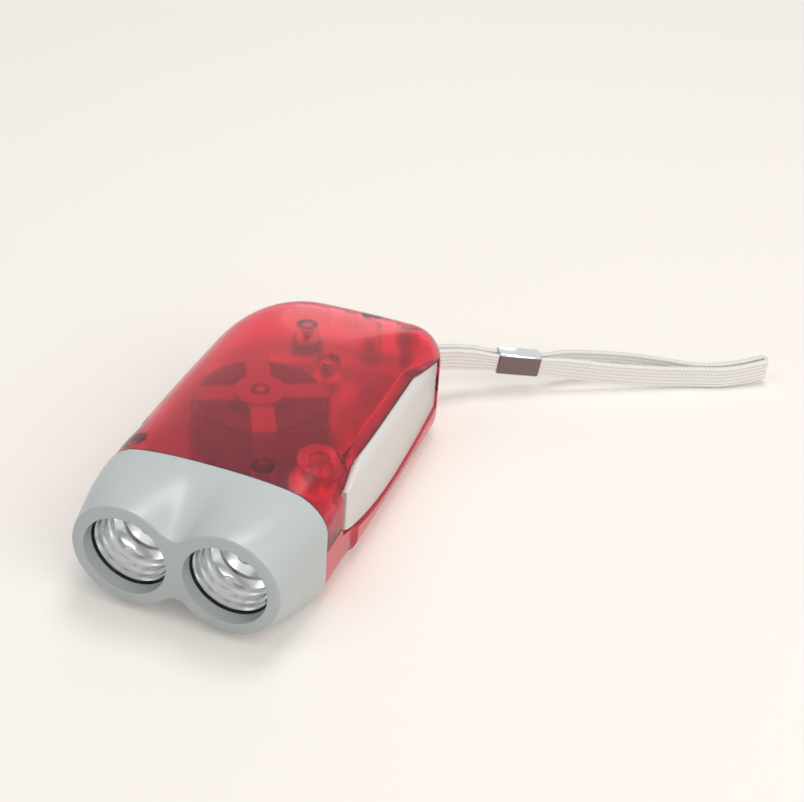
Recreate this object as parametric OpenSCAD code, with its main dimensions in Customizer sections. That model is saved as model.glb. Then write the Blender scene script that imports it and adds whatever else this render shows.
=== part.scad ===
// Hand-press dynamo flashlight: two lamps, squeeze lever, geared generator and wrist strap.
// Millimetres. The lamps face -Y, the lever is on +X, the flat underside rests on z = 0.

/* [Body] */
// Width across the grip
body_w = 50; // [48:0.5:54]
// Length from the lamp rim to the rear
body_l = 90; // [88:0.5:96]
// Height at the middle of the grip
body_h = 28; // [27.5:0.25:31]
// Height of the parting line between the shells
parting_z = 13; // [12:0.25:13.5]
// Wall of the red shells
wall = 1.8; // [1.5:0.1:2]
// Edge radius of the upper shell
top_r = 7.5; // [6.5:0.25:8.5]
// Edge radius of the lower shell
bottom_r = 6; // [5:0.25:6.5]
// Rear corner radius on the plain side
rear_left_r = 19; // [16:0.5:20]
// Rear corner radius on the lever side
rear_right_r = 8.5; // [8:0.25:10]
// Bow of the rear edge
rear_bow = 3; // [2:0.1:3.5]
// How far the grip skirt stands proud of the waist
skirt_step = 0.9; // [0.4:0.1:1.2]
// How far the shoulders fall beside the middle of the head seam
seam_drop = 0.2; // [0.1:0.01:0.24]
// How far the plain side of the top rounds off
side_drop = 0.3; // [0.1:0.02:0.34]
// Depth of the grooves along the parting line and the head seam
groove = 0.3; // [0.2:0.05:0.4]

/* [Head] */
// Length of the grey head
head_l = 18; // [17.5:0.5:22]
// Distance between the two lamps
lamp_pitch = 21.3; // [20.8:0.1:22]
// Height of the lamp axes
lamp_z = 13.8; // [13.4:0.1:14.2]
// Radius of each lamp opening
lamp_r = 8.9; // [8.5:0.1:9]
// Width of the rim round each opening
rim_w = 2.8; // [2.5:0.1:3.2]
// Depth of each opening in front of its lens
recess = 3; // [2.5:0.1:3.5]
// Thickness of a lens
lens_t = 1.6; // [1.2:0.1:2]

/* [Lever] */
// Lever opening angle
lever_swing = 24; // [20:1:24]
// Gap between the lever and its opening
lever_gap = 0.4; // [0.3:0.05:0.5]
// Lever wall
lever_wall = 2; // [1.6:0.1:2.2]
// Diameter of the pivot pin
pin_d = 4.3; // [4:0.1:4.5]
// Wire of the return spring
spring_wire = 0.7; // [0.6:0.05:0.8]
// Turns of the return spring
spring_turns = 3; // [2:1:3]

/* [Gears] */
// Gear module of the arc rack and its pinion
rack_module = 0.6; // [0.6:0.01:0.61]
// Gear module of the train
train_module = 0.5; // [0.495:0.005:0.505]
// Thickness of the train gears
gear_t = 2.4; // [2:0.1:2.6]
// Play between two meshing teeth
backlash = 0.14; // [0.1:0.01:0.18]
// Radial running clearance of shafts in their bores
run_gap = 0.05; // [0.03:0.01:0.08]

/* [Generator] */
// Radius of the flywheel
flywheel_r = 12.6; // [11.5:0.1:12.8]
// Thickness of the flywheel
flywheel_t = 5; // [4:0.1:5.2]
// Radius of the ring magnet
magnet_r = 7; // [6.5:0.1:7.2]
// Outer radius of the coil
coil_r = 13; // [12:0.1:13.2]
// Reach of the yoke arms beyond the coil
yoke_reach = 1.6; // [1.3:0.1:1.8]
// Width of a yoke arm
arm_w = 5; // [4:0.1:6]
// Turn of the yoke about its shaft
yoke_turn = 28; // [0:1:89]

/* [Strap] */
// Width of the flat strap cord
strap_w = 5.6; // [5:0.1:6]
// Thickness of the flat strap cord
strap_t = 1.3; // [1.1:0.1:1.4]
// Spacing of the two strands
strand_pitch = 2.05; // [2:0.05:2.3]
// How far each strand stands off behind the crimp
strand_bulge = 1.7; // [0.5:0.1:2]

/* [Hidden] */
$fn = 48;
eps = 0.01;
x_side = body_w / 2;
y_rear = body_l / 2;
y_front = -body_l / 2;
y_seam = y_front + head_l;
y_skirt = y_seam + 15;
fit = 0.1;
face_gap = 0.15;

// Lever pivot, drive shaft, idler shaft and rotor shaft in plan
pivot = [x_side - 8, y_seam + 12];
rotor = [-4, y_seam + 30];
drive_wish = [-4.568, y_rear - 15.779];
pinion_teeth = 10;
rack_teeth = floor(2 * norm(drive_wish - pivot) / rack_module + eps) - pinion_teeth;
drive_teeth = 48;
small_teeth = 14;
wheel_teeth = 54;
rack_rp = rack_teeth * rack_module / 2;
mesh_turn = atan2(pivot.x - drive_wish.x, drive_wish.y - pivot.y);
rack_reach = (rack_teeth + pinion_teeth) * rack_module / 2;
drive = pivot + rack_reach * [-sin(mesh_turn), cos(mesh_turn)];
drive_idler = (drive_teeth + small_teeth) * train_module / 2;
idler_rotor = (wheel_teeth + small_teeth) * train_module / 2;
idler = meet(rotor, idler_rotor, drive, drive_idler);

// Heights of the layers inside
floor_z = wall;
wheel_z = 3.2;
small_z = wheel_z + gear_t;
drive_z = 7;
fly_z = 7.2;
plate_z = fly_z + flywheel_t + 0.9;
plate_t = 0.8;
coil_z = plate_z + plate_t;
yoke_z = body_h - wall - 3;
coil_h = yoke_z - coil_z;
rack_z = 14.5;
rack_t = 5;
pinion_z = 13;
pinion_h = body_h - 6 - pinion_z;
hang_z = body_h - 7;
shaft_r = 1;
shaft_z = 1.1;
shaft_h = body_h - wall - 2.2;
boss_r = 2.4;
pivot_boss_r = 4.4;
spring_boss_r = 3.3;
spring_r = spring_boss_r + 0.4 + spring_wire / 2;
spring_pitch = spring_wire + 0.55;
knuckle_r = spring_r + spring_wire / 2 + 1.6;
knuckle_z = 11.4;
knuckle_top = 19.6;
spring_z = knuckle_z - spring_pitch * (spring_turns + 0.25) - spring_wire / 2 - 0.4;
spring_seat_z = spring_z - spring_wire / 2 - face_gap;
lever_face = x_side - 0.6;
nose_r = lever_face - pivot.x;

// Side opening for the lever, seen along X: its lower edge is lowest at low_y and rises to both ends
open_front = pivot.y - 2.5;
open_rear = y_rear - 8.5;
open_low = 6;
open_high = body_h - 3.6;
low_y = y_seam + 35;
rise_front = 4.5;
rise_rear = 2.7;
swing_room = 1.9;
nose_y = pivot.y + 4;
nose_fall = 0.34;
nose_back = 3.2;
lock_x = x_side - 7;
lock_y = open_rear - 7.8;
lock_travel = 3.4;

// Strap post, screw places and the strap's route
post = [15.5, y_rear - 4.6];
post_r = 1.8;
screw_r = 1;
screw_head_z = 2;
screws = [[5 - x_side, y_seam + 5], [8, y_seam + 5], [6.5, y_rear - 4.2]];
peg = [1.5, y_rear - 4.2];
strap_out = [[15.5, 44.5, 12], [16.5, 48, 11.9], [18.5, 51.5, 11.4], [21.5, 55, 10.6], [26, 58.6, 9.5],
             [31, 61.5, 8.6], [36, 64.3, 7.8], [41, 67, 7.1], [47.6, 71.7, 5.9], [54.4, 75.8, 4.8],
             [61.2, 79.3, 4], [68.2, 82.2, 3.4], [75.4, 84.8, 3.1], [81.5, 87.5, 3.1], [86.4, 90.7, 3.4],
             [90.4, 93.7, 4]];
loop_r = post_r + strap_t / 2 + 0.15;
crimp_from = 5;
crimp_to = 7;

// Small helpers
function lerp(a, b, t) = a + (b - a) * t;
function ease(t) = t * t * (3 - 2 * t);
function unit(v) = v / norm(v);
function heading(a, b) = atan2(b.y - a.y, b.x - a.x);

// Point at ra from a and rb from b, on the right of the way from a to b
function meet(a, ra, b, rb) =
    let (gap = norm(b - a), u = (b - a) / gap, along = (ra * ra - rb * rb + gap * gap) / (2 * gap),
         off = sqrt(ra * ra - along * along))
    a + along * u + off * [u.y, -u.x];

// Grip outline: rings of plan points, each drawn in from the widest one; the waist is a step on the side
// walls and fades into a slow taper over the top and the underside
function step_waist(y) = y < y_skirt - 0.2 ? skirt_step
    : y > y_skirt + 0.2 ? 0 : lerp(skirt_step, 0, (y - y_skirt + 0.2) / 0.4);
function slow_waist(y) = skirt_step * (1 - ease(min(1, max(0, (y - y_seam) / (y_skirt + 12 - y_seam)))));
function waist(y, side) = lerp(slow_waist(y), step_waist(y), side);
function side_share(depth) = max(0, 1 - depth / 2.5);
function side_ys(last) = concat(
    [y_seam, lerp(y_seam, y_skirt, 0.35), lerp(y_seam, y_skirt, 0.7), y_skirt - 0.2, y_skirt + 0.2],
    [for (k = [1:6]) lerp(y_skirt + 0.2, last, k / 6)]);
function corner(cx, cy, r, from, steps) =
    [for (k = [1:steps]) [cx + r * cos(from + 90 * k / steps), cy + r * sin(from + 90 * k / steps)]];
function ring(inset, side) =
    let (rr = max(rear_right_r - inset, 0.6), rl = max(rear_left_r - inset, 0.6),
         back = y_rear - rear_bow - inset, xs = x_side - inset, bow_w = 2 * xs - rr - rl)
    concat(
        [for (y = side_ys(back - rr)) [xs - waist(y, side), y]],
        corner(xs - rr, back - rr, rr, 0, 8),
        [for (k = [1:5]) let (t = k / 6) [xs - rr - bow_w * t, back]],
        [[-xs + rl, back]],
        corner(-xs + rl, back - rl, rl, 90, 10),
        [for (k = [1:10]) let (ys = side_ys(back - rl), y = ys[10 - k]) [-xs + waist(y, side), y]]);
bow_x = 8;
function bowed(p) = [p.x, p.y + (p.y > 0
    ? rear_bow * ease(min(1, p.y / y_rear)) * (1 - pow((p.x - bow_x) / (x_side + bow_x), 2)) : 0)];
function crown(y) = y < 8 ? 1 - 0.075 * pow((8 - y) / (8 - y_seam), 2) : 1 - 0.02 * pow((y - 8) / (y_rear - 8), 2);
// Share of the height lost beside the middle: both sides at the seam, the plain side behind it
function shoulder(x, y) =
    seam_drop * pow(max(0, (y_skirt - y) / (y_skirt - y_seam)), 2) * pow(abs(x) / x_side, 2.5)
    + side_drop * ease(min(1, (y - y_seam) / (y_skirt - y_seam))) * pow(max(0, -x) / x_side, 4);

// Levels of the two shells as [inset, height]; skin is how far inside the outer face they lie
arc_end = 84;
function lip(skin) = skin > 0 ? 0 : groove;
function top_levels(skin) =
    let (r = top_r - skin, rise = 0.8, mid_d = top_r - r * cos(arc_end), mid_z = body_h - rise - skin)
    concat(
        [[skin + lip(skin), parting_z], [skin, parting_z + groove], [skin, lerp(parting_z, body_h - rise - top_r, 0.6)]],
        [for (k = [0:7]) let (a = arc_end * k / 7)
            [top_r - r * cos(a), mid_z - r * (sin(arc_end) - sin(a))]],
        [for (k = [1:3]) let (t = k / 3) [lerp(mid_d, x_side - 3, t), mid_z + rise * (1 - pow(1 - t, 2))]]);
function low_levels(skin) =
    let (r = bottom_r - skin)
    concat([[skin + lip(skin), parting_z], [skin, parting_z - groove]], [for (k = [0:6]) let (a = 15 * k)
        [bottom_r - r * cos(a), bottom_r - r * sin(a)]]);

// Triangles between two rings of n points that start at a and b; open leaves out the front edge
function band(a, b, n, open) = [for (i = [0:n - (open ? 2 : 1)]) let (k = (i + 1) % n)
    each [[a + i, b + i, b + k], [a + i, b + k, a + k]]];
// Triangles across one ring, from its right half to its left half
function bridge(o, n) = [for (i = [0:floor(n / 2) - 1]) let (a = o + i, b = o + n - 1 - i)
    each (b - 1 > a + 1 ? [[a, b, b - 1], [a, b - 1, a + 1]] : [[a, b, a + 1]])];
function turned(faces) = [for (f = faces) [for (k = [len(f) - 1:-1:0]) f[k]]];
// Solid inside a stack of rings
module stack(rings, flip) {
    n = len(rings[0]);
    m = len(rings);
    faces = concat(turned(bridge(0, n)), bridge((m - 1) * n, n),
        [for (j = [0:m - 2]) each band(j * n, (j + 1) * n, n, false)]);
    polyhedron([for (r = rings) each r], flip ? turned(faces) : faces, convexity = 6);
}
// Shell between two stacks of rings, open at the front and at its first ring
module cup(outer, inner, flip) {
    n = len(outer[0]);
    m = len(outer);
    o = m * n;
    last = (m - 1) * n;
    front = [for (j = [0:m - 2]) each [
        [j * n, o + j * n, o + (j + 1) * n], [j * n, o + (j + 1) * n, (j + 1) * n],
        [o + j * n + n - 1, j * n + n - 1, (j + 1) * n + n - 1],
        [o + j * n + n - 1, (j + 1) * n + n - 1, o + (j + 1) * n + n - 1]]];
    faces = concat(
        [for (j = [0:m - 2]) each band(j * n, (j + 1) * n, n, true)], bridge(last, n),
        turned(concat([for (j = [0:m - 2]) each band(o + j * n, o + (j + 1) * n, n, true)], bridge(o + last, n))),
        band(o, 0, n, true), front,
        [[last, o + last, o + last + n - 1], [last, o + last + n - 1, last + n - 1]]);
    polyhedron([for (r = concat(outer, inner)) each r], flip ? turned(faces) : faces, convexity = 6);
}
function upper_rings(skin) = [for (l = top_levels(skin))
    [for (q = ring(l[0], side_share(l[0] - skin))) let (p = bowed(q))
        [p.x, p.y, parting_z + (l[1] - parting_z) * (crown(p.y) - shoulder(p.x, p.y))]]];
function lower_rings(skin) = [for (l = low_levels(skin))
    [for (q = ring(l[0], side_share(l[0] - skin))) let (p = bowed(q)) [p.x, p.y, l[1]]]];

// Head sections: rounded box at the seam, two joined lobes at the rim, by angle about the lamp axis height
rim_r = lamp_r + rim_w;
saddle_r = 3.6;
lobe_x = lamp_pitch / 2;
saddle_h = sqrt(pow(rim_r + saddle_r, 2) - lobe_x * lobe_x);
saddle_a = atan2(saddle_h * rim_r, lobe_x * saddle_r);
seam_top = parting_z + (body_h - parting_z) * crown(y_seam);
function circle_hit(c, r, u, side) = c * u + side * sqrt(max(0, pow(c * u, 2) - c * c + r * r));
function box_radius(a, half, up, r) =
    let (u = [abs(cos(a)), abs(sin(a))], tx = half / max(u.x, eps), ty = up / max(u.y, eps))
    tx * u.y <= up - r ? tx : ty * u.x <= half - r ? ty : circle_hit([half - r, up - r], r, u, 1);
function lobe_radius(a) =
    let (u = [abs(cos(a)), abs(sin(a))], lift = atan2(u.y, u.x))
    lift > saddle_a ? circle_hit([0, saddle_h], saddle_r, u, -1) : circle_hit([lobe_x, 0], rim_r, u, 1);
function head_radius(a, t) =
    lerp(sin(a) >= 0 ? box_radius(a, x_side - skirt_step + 0.2, seam_top - lamp_z, top_r)
                     : box_radius(a, x_side - skirt_step + 0.2, lamp_z, bottom_r), lobe_radius(a), t);
head_n = 88;
function dropped(x, z, t) = z < parting_z ? z
    : parting_z + (z - parting_z) * (1 - shoulder(x, y_seam) / crown(y_seam) * pow(1 - t, 1.5));
function head_ring(y, t, shrink = 0) =
    [for (i = [0:head_n - 1]) let (a = 360 * (i + 0.5) / head_n, r = head_radius(a, t) - shrink)
        [r * cos(a), y, dropped(r * cos(a), lamp_z + r * sin(a), t)]];
module head_solid() {
    steps = 9;
    rings = concat(
        [head_ring(y_seam, 0, groove), head_ring(y_seam - groove, 0)],
        [for (k = [1:steps]) let (t = k / steps) head_ring(lerp(y_seam, y_front + 0.8, t), pow(t, 1.5))],
        [head_ring(y_front + 0.25, 1, 0.2), head_ring(y_front, 1, 0.8)]);
    n = head_n;
    m = len(rings);
    points = [for (r = rings) each r];
    sides = [for (j = [0:m - 2]) for (i = [0:n - 1]) let (a = j * n + i, b = j * n + (i + 1) % n)
        each [[a, b + n, a + n], [a, b, b + n]]];
    seam_fan = [for (i = [0:n - 1]) [m * n, (i + 1) % n, i]];
    rim_fan = [for (i = [0:n - 1]) let (o = (m - 1) * n) [m * n + 1, o + i, o + (i + 1) % n]];
    centres = [[0, y_seam, lamp_z], [0, y_front, lamp_z]];
    polyhedron(concat(points, centres), concat(sides, seam_fan, rim_fan), convexity = 6);
}

// Involute gear outline with one tooth on +X, thinned for half the play
tooth_a = 25;
function involute(a) = tan(a) * 180 / PI - a;
function tooth_half(r, rp, n) =
    let (rb = rp * cos(tooth_a))
    90 / n - backlash / 4 / rp * 180 / PI + involute(tooth_a) - involute(acos(min(1, rb / max(r, rb))));
function gear_points(n, mod, first, last) =
    let (rp = n * mod / 2, root = rp - 1.1 * mod, tip = rp + 0.8 * mod,
         rs = [root, max(root + 0.1 * mod, rp * cos(tooth_a)), rp, tip])
    [for (i = [first:last]) each concat(
        [for (r = rs) let (a = 360 * i / n - tooth_half(r, rp, n)) r * [cos(a), sin(a)]],
        [for (k = [3:-1:0]) let (r = rs[k], a = 360 * i / n + tooth_half(r, rp, n)) r * [cos(a), sin(a)]])];
module gear(n, mod, h, bore) {
    linear_extrude(h) difference() {
        polygon(gear_points(n, mod, 0, n - 1));
        circle(bore);
    }
}
module at(p, z = 0) {
    translate([p.x, p.y, z]) children();
}
module tube(r_out, r_in, h) {
    difference() {
        cylinder(r = r_out, h = h);
        translate([0, 0, -1]) cylinder(r = r_in, h = h + 2);
    }
}
// Extrudes a YZ outline along X
module along_x(x0, x1) {
    translate([x0, 0, 0]) rotate([90, 0, 90]) linear_extrude(x1 - x0) children();
}
function low_edge(y) = open_low + (y < low_y ? rise_front * pow((y - low_y) / (open_front - low_y), 2)
    : rise_rear * pow((y - low_y) / (open_rear - low_y), 2));
module opening_outline(gap, front = open_front) {
    steps = 12;
    fall_y = nose_y + (gap > 0 ? nose_back : 0);
    polygon(concat(
        [for (k = [0:steps]) let (y = lerp(front + gap, open_rear - gap, k / steps))
            [y, low_edge(y) + gap * (1 + swing_room * max(0, low_y - y) / (low_y - open_front))]],
        [[open_rear - gap, open_high - 3 - gap], [open_rear - 13.5 - gap, open_high - gap],
         [fall_y, open_high - gap], [front + gap, open_high - gap - nose_fall * (fall_y - front - gap)]]));
}
module lever_room() {
    along_x(x_side - 10, x_side + 5) opening_outline(0);
    intersection() {
        at(pivot, 0) cylinder(r = nose_r + lever_gap, h = body_h);
        along_x(0, x_side + 5) opening_outline(0, pivot.y - nose_r - 1);
    }
}
module screw_bores(r, z0, z1) {
    for (p = screws) at(p, z0) cylinder(r = r, h = z1 - z0);
}

// Upper shell with its bosses, rib and strap slot
strap_slot_w = 2 * loop_r + strap_t + 0.6;
strap_slot_h = strap_w + 1;
module strap_slot() {
    translate([post.x - strap_slot_w / 2, post.y, strap_out[0].z - strap_slot_h / 2])
        cube([strap_slot_w, 12, strap_slot_h]);
}
module upper_fittings() {
    at(pivot, knuckle_top + face_gap) cylinder(r = pivot_boss_r, h = body_h);
    at(drive, pinion_z + pinion_h + face_gap) cylinder(r = boss_r, h = body_h);
    at(idler, hang_z + 1) cylinder(r = boss_r + 0.6, h = body_h);
    at(post, hang_z - 1) cylinder(r = boss_r + 0.4, h = body_h);
    for (p = screws) at(p, parting_z) cylinder(r = boss_r, h = body_h);
    at(peg, hang_z - 0.5) tube(2, 1.2, body_h);
    translate([-12, y_rear - 6.5, hang_z]) cube([9, 1, body_h]);
}
module upper_shell() color([0.8, 0.1, 0.16, 0.7]) difference() {
    union() {
        cup(upper_rings(0), upper_rings(wall), false);
        intersection() {
            stack(upper_rings(wall / 2), false);
            upper_fittings();
        }
    }
    difference() {
        lever_room();
        at(pivot, knuckle_top + face_gap) cylinder(r = pivot_boss_r, h = body_h);
    }
    at(pivot, 0) cylinder(r = pin_d / 2 + run_gap, h = body_h - wall - 0.8);
    at(drive, 0) cylinder(r = shaft_r + run_gap, h = body_h - wall - 0.8);
    at(idler, 0) cylinder(r = shaft_r + run_gap, h = body_h - wall - 0.8);
    at(post, 0) cylinder(r = post_r + fit, h = body_h - wall - 0.8);
    screw_bores(screw_r - 0.1, 0, parting_z + 8);
    strap_slot();
}

// Lower shell with floor bosses, generator pillars, cell cradle and the lock's window
pillar_at = [for (a = [150, 225, 300]) rotor + (coil_r + 1.4) * [cos(a), sin(a)]];
pillar_r = 1.3;
cell_r = 5.6;
cell_l = 15;
cell_at = [15.8 - x_side, y_seam + 10.5, floor_z + cell_r + 0.7];
module spring_seat() {
    at(pivot, 0) cylinder(r = spring_boss_r, h = knuckle_z - face_gap);
    at(pivot, 0) cylinder(r = knuckle_r, h = spring_seat_z);
}
module lower_fittings() {
    spring_seat();
    at(drive, 0) cylinder(r = boss_r, h = wheel_z - 0.3);
    at(idler, 0) cylinder(r = boss_r, h = wheel_z - face_gap);
    at(rotor, 0) cylinder(r = 3.4, h = 2.6);
    at(post, 0) cylinder(r = boss_r + 0.4, h = 5);
    for (p = pillar_at) at(p, 0) cylinder(r = pillar_r, h = plate_z);
    for (p = screws) at(p, 0) cylinder(r = boss_r, h = parting_z);
    for (k = [-1, 1]) translate([cell_at.x + k * 4 - 0.6, cell_at.y - cell_r, 0])
        cube([1.2, 2 * cell_r, cell_at.z]);
}
module lock_window(gap) {
    translate([lock_x - 0.8 - gap, lock_y - 0.3, -1])
        cube([1.6 + 2 * gap, 3 + lock_travel + 0.6, floor_z + 2]);
    translate([lock_x - 4 - 0.2, lock_y - 3.2, -1]) cube([5.7, 9 + lock_travel + 0.4, 1 + 1.1]);
}
module lower_shell() color([0.8, 0.1, 0.16, 0.7]) difference() {
    union() {
        cup(lower_rings(0), lower_rings(wall), true);
        intersection() {
            stack(lower_rings(wall / 2), true);
            lower_fittings();
        }
    }
    difference() {
        lever_room();
        spring_seat();
    }
    at(pivot, 1) cylinder(r = pin_d / 2 + run_gap, h = body_h);
    at(drive, 1) cylinder(r = shaft_r + run_gap, h = body_h);
    at(idler, 1) cylinder(r = shaft_r + run_gap, h = body_h);
    at(rotor, 1) cylinder(r = 2.2, h = body_h);
    at(post, 1) cylinder(r = post_r + fit, h = body_h);
    screw_bores(screw_r + fit, -1, parting_z + 1);
    screw_bores(1.9, -1, screw_head_z + 1);
    translate(cell_at) rotate([0, 90, 0]) cylinder(r = cell_r + fit, h = cell_l + 4, center = true);
    strap_slot();
    lock_window(0.15);
}

// Grey head: two lamp openings, lens seats and the hollow behind them
lens_y = y_front + recess;
lens_r = lamp_r + 0.7;
seat_y = lens_y + lens_t;
cup_y = y_seam - 3.4;
module lamp_bore(x, r, y0, y1) {
    translate([x, y0, lamp_z]) rotate([-90, 0, 0]) cylinder(r = r, h = y1 - y0);
}
module head_bezel() color([0.74, 0.78, 0.79]) difference() {
    head_solid();
    for (x = [-lobe_x, lobe_x]) {
        lamp_bore(x, lamp_r, y_front - 1, y_seam);
        lamp_bore(x, lens_r + fit, lens_y, y_seam + 1);
    }
    translate([-x_side + 5.5, cup_y - 0.2, 5.2]) cube([2 * x_side - 11, head_l, 16.5]);
}
module lens(x) {
    lamp_bore(x, lens_r, lens_y, seat_y);
    translate([x, lens_y, lamp_z]) rotate([90, 0, 0]) intersection() {
        cylinder(r = lamp_r - 0.25, h = 2);
        translate([0, 0, -45.2]) sphere(r = 46, $fn = 360);
    }
}
module lens_left() color([0.9, 0.94, 0.96, 0.35]) lens(-lobe_x);
module lens_right() color([0.9, 0.94, 0.96, 0.35]) lens(lobe_x);

// Twin reflector: stepped cups joined by a flange behind the head
cup_l = cup_y - seat_y;
neck_r = 2.95;
function cup_radius(t) = neck_r + (lens_r - 1.1 - neck_r) * sqrt(t);
module cup_outline(skin) {
    steps = 6;
    polygon(concat([[0, -eps]],
        [for (k = [0:steps]) each [[cup_radius(k / steps) + skin, cup_l * k / steps],
            [cup_radius(k / steps) + skin, cup_l * min(1, (k + 0.35) / steps)]]],
        [[0, cup_l + eps]]));
}
module reflector() color([0.85, 0.86, 0.87]) difference() {
    union() {
        for (x = [-lobe_x, lobe_x]) translate([x, cup_y, lamp_z]) rotate([90, 0, 0]) {
            rotate_extrude() intersection() {
                cup_outline(0.9);
                square([lens_r, cup_l]);
            }
            translate([0, 0, cup_l - 1]) cylinder(r = lens_r, h = 1);
        }
        translate([-x_side + 6, cup_y, 6]) cube([2 * x_side - 12, 1.2, 15]);
    }
    for (x = [-lobe_x, lobe_x]) translate([x, cup_y, lamp_z]) rotate([90, 0, 0]) {
        rotate_extrude() cup_outline(0);
        translate([0, 0, -3]) cylinder(r = neck_r, h = 4);
    }
}

// Lamps stand on the lamp board and reach through the cup necks
led_r = 2.5;
board_y = y_seam - 0.6;
board_t = 1.2;
module led(x) {
    translate([x, board_y, lamp_z]) rotate([90, 0, 0]) {
        cylinder(r = led_r + 0.35, h = 1);
        cylinder(r = led_r, h = 6.4);
        translate([0, 0, 6.4]) sphere(r = led_r);
    }
}
module led_left() color([0.95, 0.95, 0.88, 0.6]) led(-lobe_x);
module led_right() color([0.95, 0.95, 0.88, 0.6]) led(lobe_x);
module led_board() color([0.2, 0.42, 0.25]) {
    translate([-x_side + 6, board_y, 6]) cube([2 * x_side - 12, board_t, 15]);
    for (x = [-6, -2, 2]) translate([x, board_y + board_t - eps, 9]) cube([2.4, 1.6, 3.6]);
    for (x = [-lobe_x, lobe_x]) for (k = [-1, 1])
        translate([x + k * 1.27, board_y + board_t - eps, lamp_z]) rotate([-90, 0, 0]) cylinder(r = 0.6, h = 0.9);
}

// Storage cell in its cradle and the spring clip over it
module storage_cell() color([0.25, 0.35, 0.6])
    translate(cell_at) rotate([0, 90, 0]) {
        cylinder(r = cell_r, h = cell_l, center = true);
        cylinder(r = 2, h = cell_l + 1.6, center = true);
    }
module cell_clip() color([0.75, 0.75, 0.72])
    for (k = [-1, 1])
        translate([cell_at.x + k * (cell_l / 2 + 1) - 0.2, cell_at.y - 3, floor_z]) cube([0.4, 6, 9]);

// Squeeze lever: curved outer wall, flanges, pivot knuckle and lock tab
flange_x = x_side - 5;
tab_z = low_edge(open_rear) + lever_gap;
tab_t = 1.5;
edge_r = 6;
module lever_section() {
    square([lever_face - edge_r, body_h]);
    translate([0, bottom_r]) square([lever_face, body_h - bottom_r - top_r]);
    translate([lever_face - edge_r, bottom_r]) circle(edge_r);
    translate([lever_face - edge_r, body_h - top_r]) circle(edge_r);
}
module lever_bar() {
    intersection() {
        rotate([90, 0, 0]) translate([0, 0, -y_rear]) linear_extrude(body_l) lever_section();
        along_x(0, x_side + 1) opening_outline(lever_gap);
        union() {
            translate([flange_x, pivot.y, 0]) cube([10, body_l, body_h]);
            intersection() {
                at(pivot, 0) cylinder(r = nose_r, h = body_h, $fn = 96);
                translate([flange_x, pivot.y - nose_r, 0]) cube([10, 2 * nose_r, body_h]);
            }
        }
    }
}
module lever_hollow() {
    hollow_y = pivot.y + nose_r + 1;
    difference() {
        intersection() {
            along_x(flange_x - 1, lever_face - lever_wall) opening_outline(lever_gap + lever_wall);
            translate([0, hollow_y, 0]) cube([x_side, body_l, body_h]);
        }
        for (k = [1:3]) translate([flange_x, lerp(hollow_y - 1, rack_end_y, k / 4), 0]) cube([10, 1.2, body_h]);
        translate([flange_x, rack_end_y - 3.4, 0]) cube([10, 6.8, body_h]);
    }
}
module lever() color([0.76, 0.79, 0.79]) difference() {
    union() {
        lever_bar();
        at(pivot, knuckle_z) cylinder(r = knuckle_r, h = knuckle_top - knuckle_z);
        translate([pivot.x, pivot.y - 2, knuckle_z]) cube([flange_x - pivot.x + 1, 9, 6]);
        translate([lock_x - 2.2, open_rear - 4.6, tab_z]) cube([flange_x - lock_x + 4, 4, tab_t]);
    }
    lever_hollow();
    at(pivot, 0) cylinder(r = pin_d / 2 + run_gap, h = body_h);
    at(pivot, knuckle_top) cylinder(r = pivot_boss_r + 0.4, h = body_h);
    at(pivot, 0) cylinder(r = knuckle_r, h = knuckle_z);
    translate([0, pivot.y - 10, 0]) cube([lever_face - lever_wall, 22, knuckle_z]);
    translate([lock_x - 1, open_rear - 5, 0]) cube([2.2, 3.8, tab_z + 3]);
    rack_pocket();
}

// Arc rack keyed into the lever, with teeth on its outer side
rack_in = rack_rp - 2.7;
rack_end_x = lever_face - lever_wall;
rack_end_y = pivot.y + sqrt(pow((rack_in + rack_rp) / 2, 2) - pow(flange_x + 1 - pivot.x, 2));
module rack_pocket() {
    intersection() {
        at(pivot, rack_z - fit) tube(rack_rp + rack_module + fit, rack_in - fit, rack_t + 2 * fit);
        translate([flange_x - 2, rack_end_y - 8, 0]) cube([rack_end_x - flange_x + 2, 16, body_h]);
    }
}
first_tooth = -2;
last_tooth = ceil(lever_swing * rack_teeth / 360) + 1;
module lever_rack() color([0.82, 0.82, 0.8]) intersection() {
    at(pivot, rack_z) linear_extrude(rack_t) rotate(90 + mesh_turn) difference() {
        polygon(concat([[0, 0], rack_rp * [cos(mesh_turn + 10), -sin(mesh_turn + 10)]],
            gear_points(rack_teeth, rack_module, first_tooth, last_tooth)));
        circle(rack_in - eps, $fn = 360);
    }
    translate([-x_side, pivot.y, 0]) cube([x_side + rack_end_x - fit, body_l, body_h]);
}
module lever_pin() color([0.7, 0.7, 0.72]) at(pivot, shaft_z)
    cylinder(r = pin_d / 2, h = shaft_h);

// Return spring: one unbroken wire wound round the lower boss, a leg at each end
spring_steps = 8;
leg_l = 7;
function spring_path() = concat(
    [[pivot.x - 6.5, pivot.y - spring_r, spring_z]],
    [for (k = [0:(spring_turns + 0.25) * spring_steps]) let (a = 360 * k / spring_steps - 90)
        [pivot.x + spring_r * cos(a), pivot.y + spring_r * sin(a), spring_z + spring_pitch * k / spring_steps]],
    [[pivot.x + spring_r, pivot.y + leg_l, spring_z + spring_pitch * (spring_turns + 0.25)]]);
function frame_u(path, i) =
    unit(path[min(i + 1, len(path) - 1)] - path[max(i - 1, 0)]);
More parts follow.
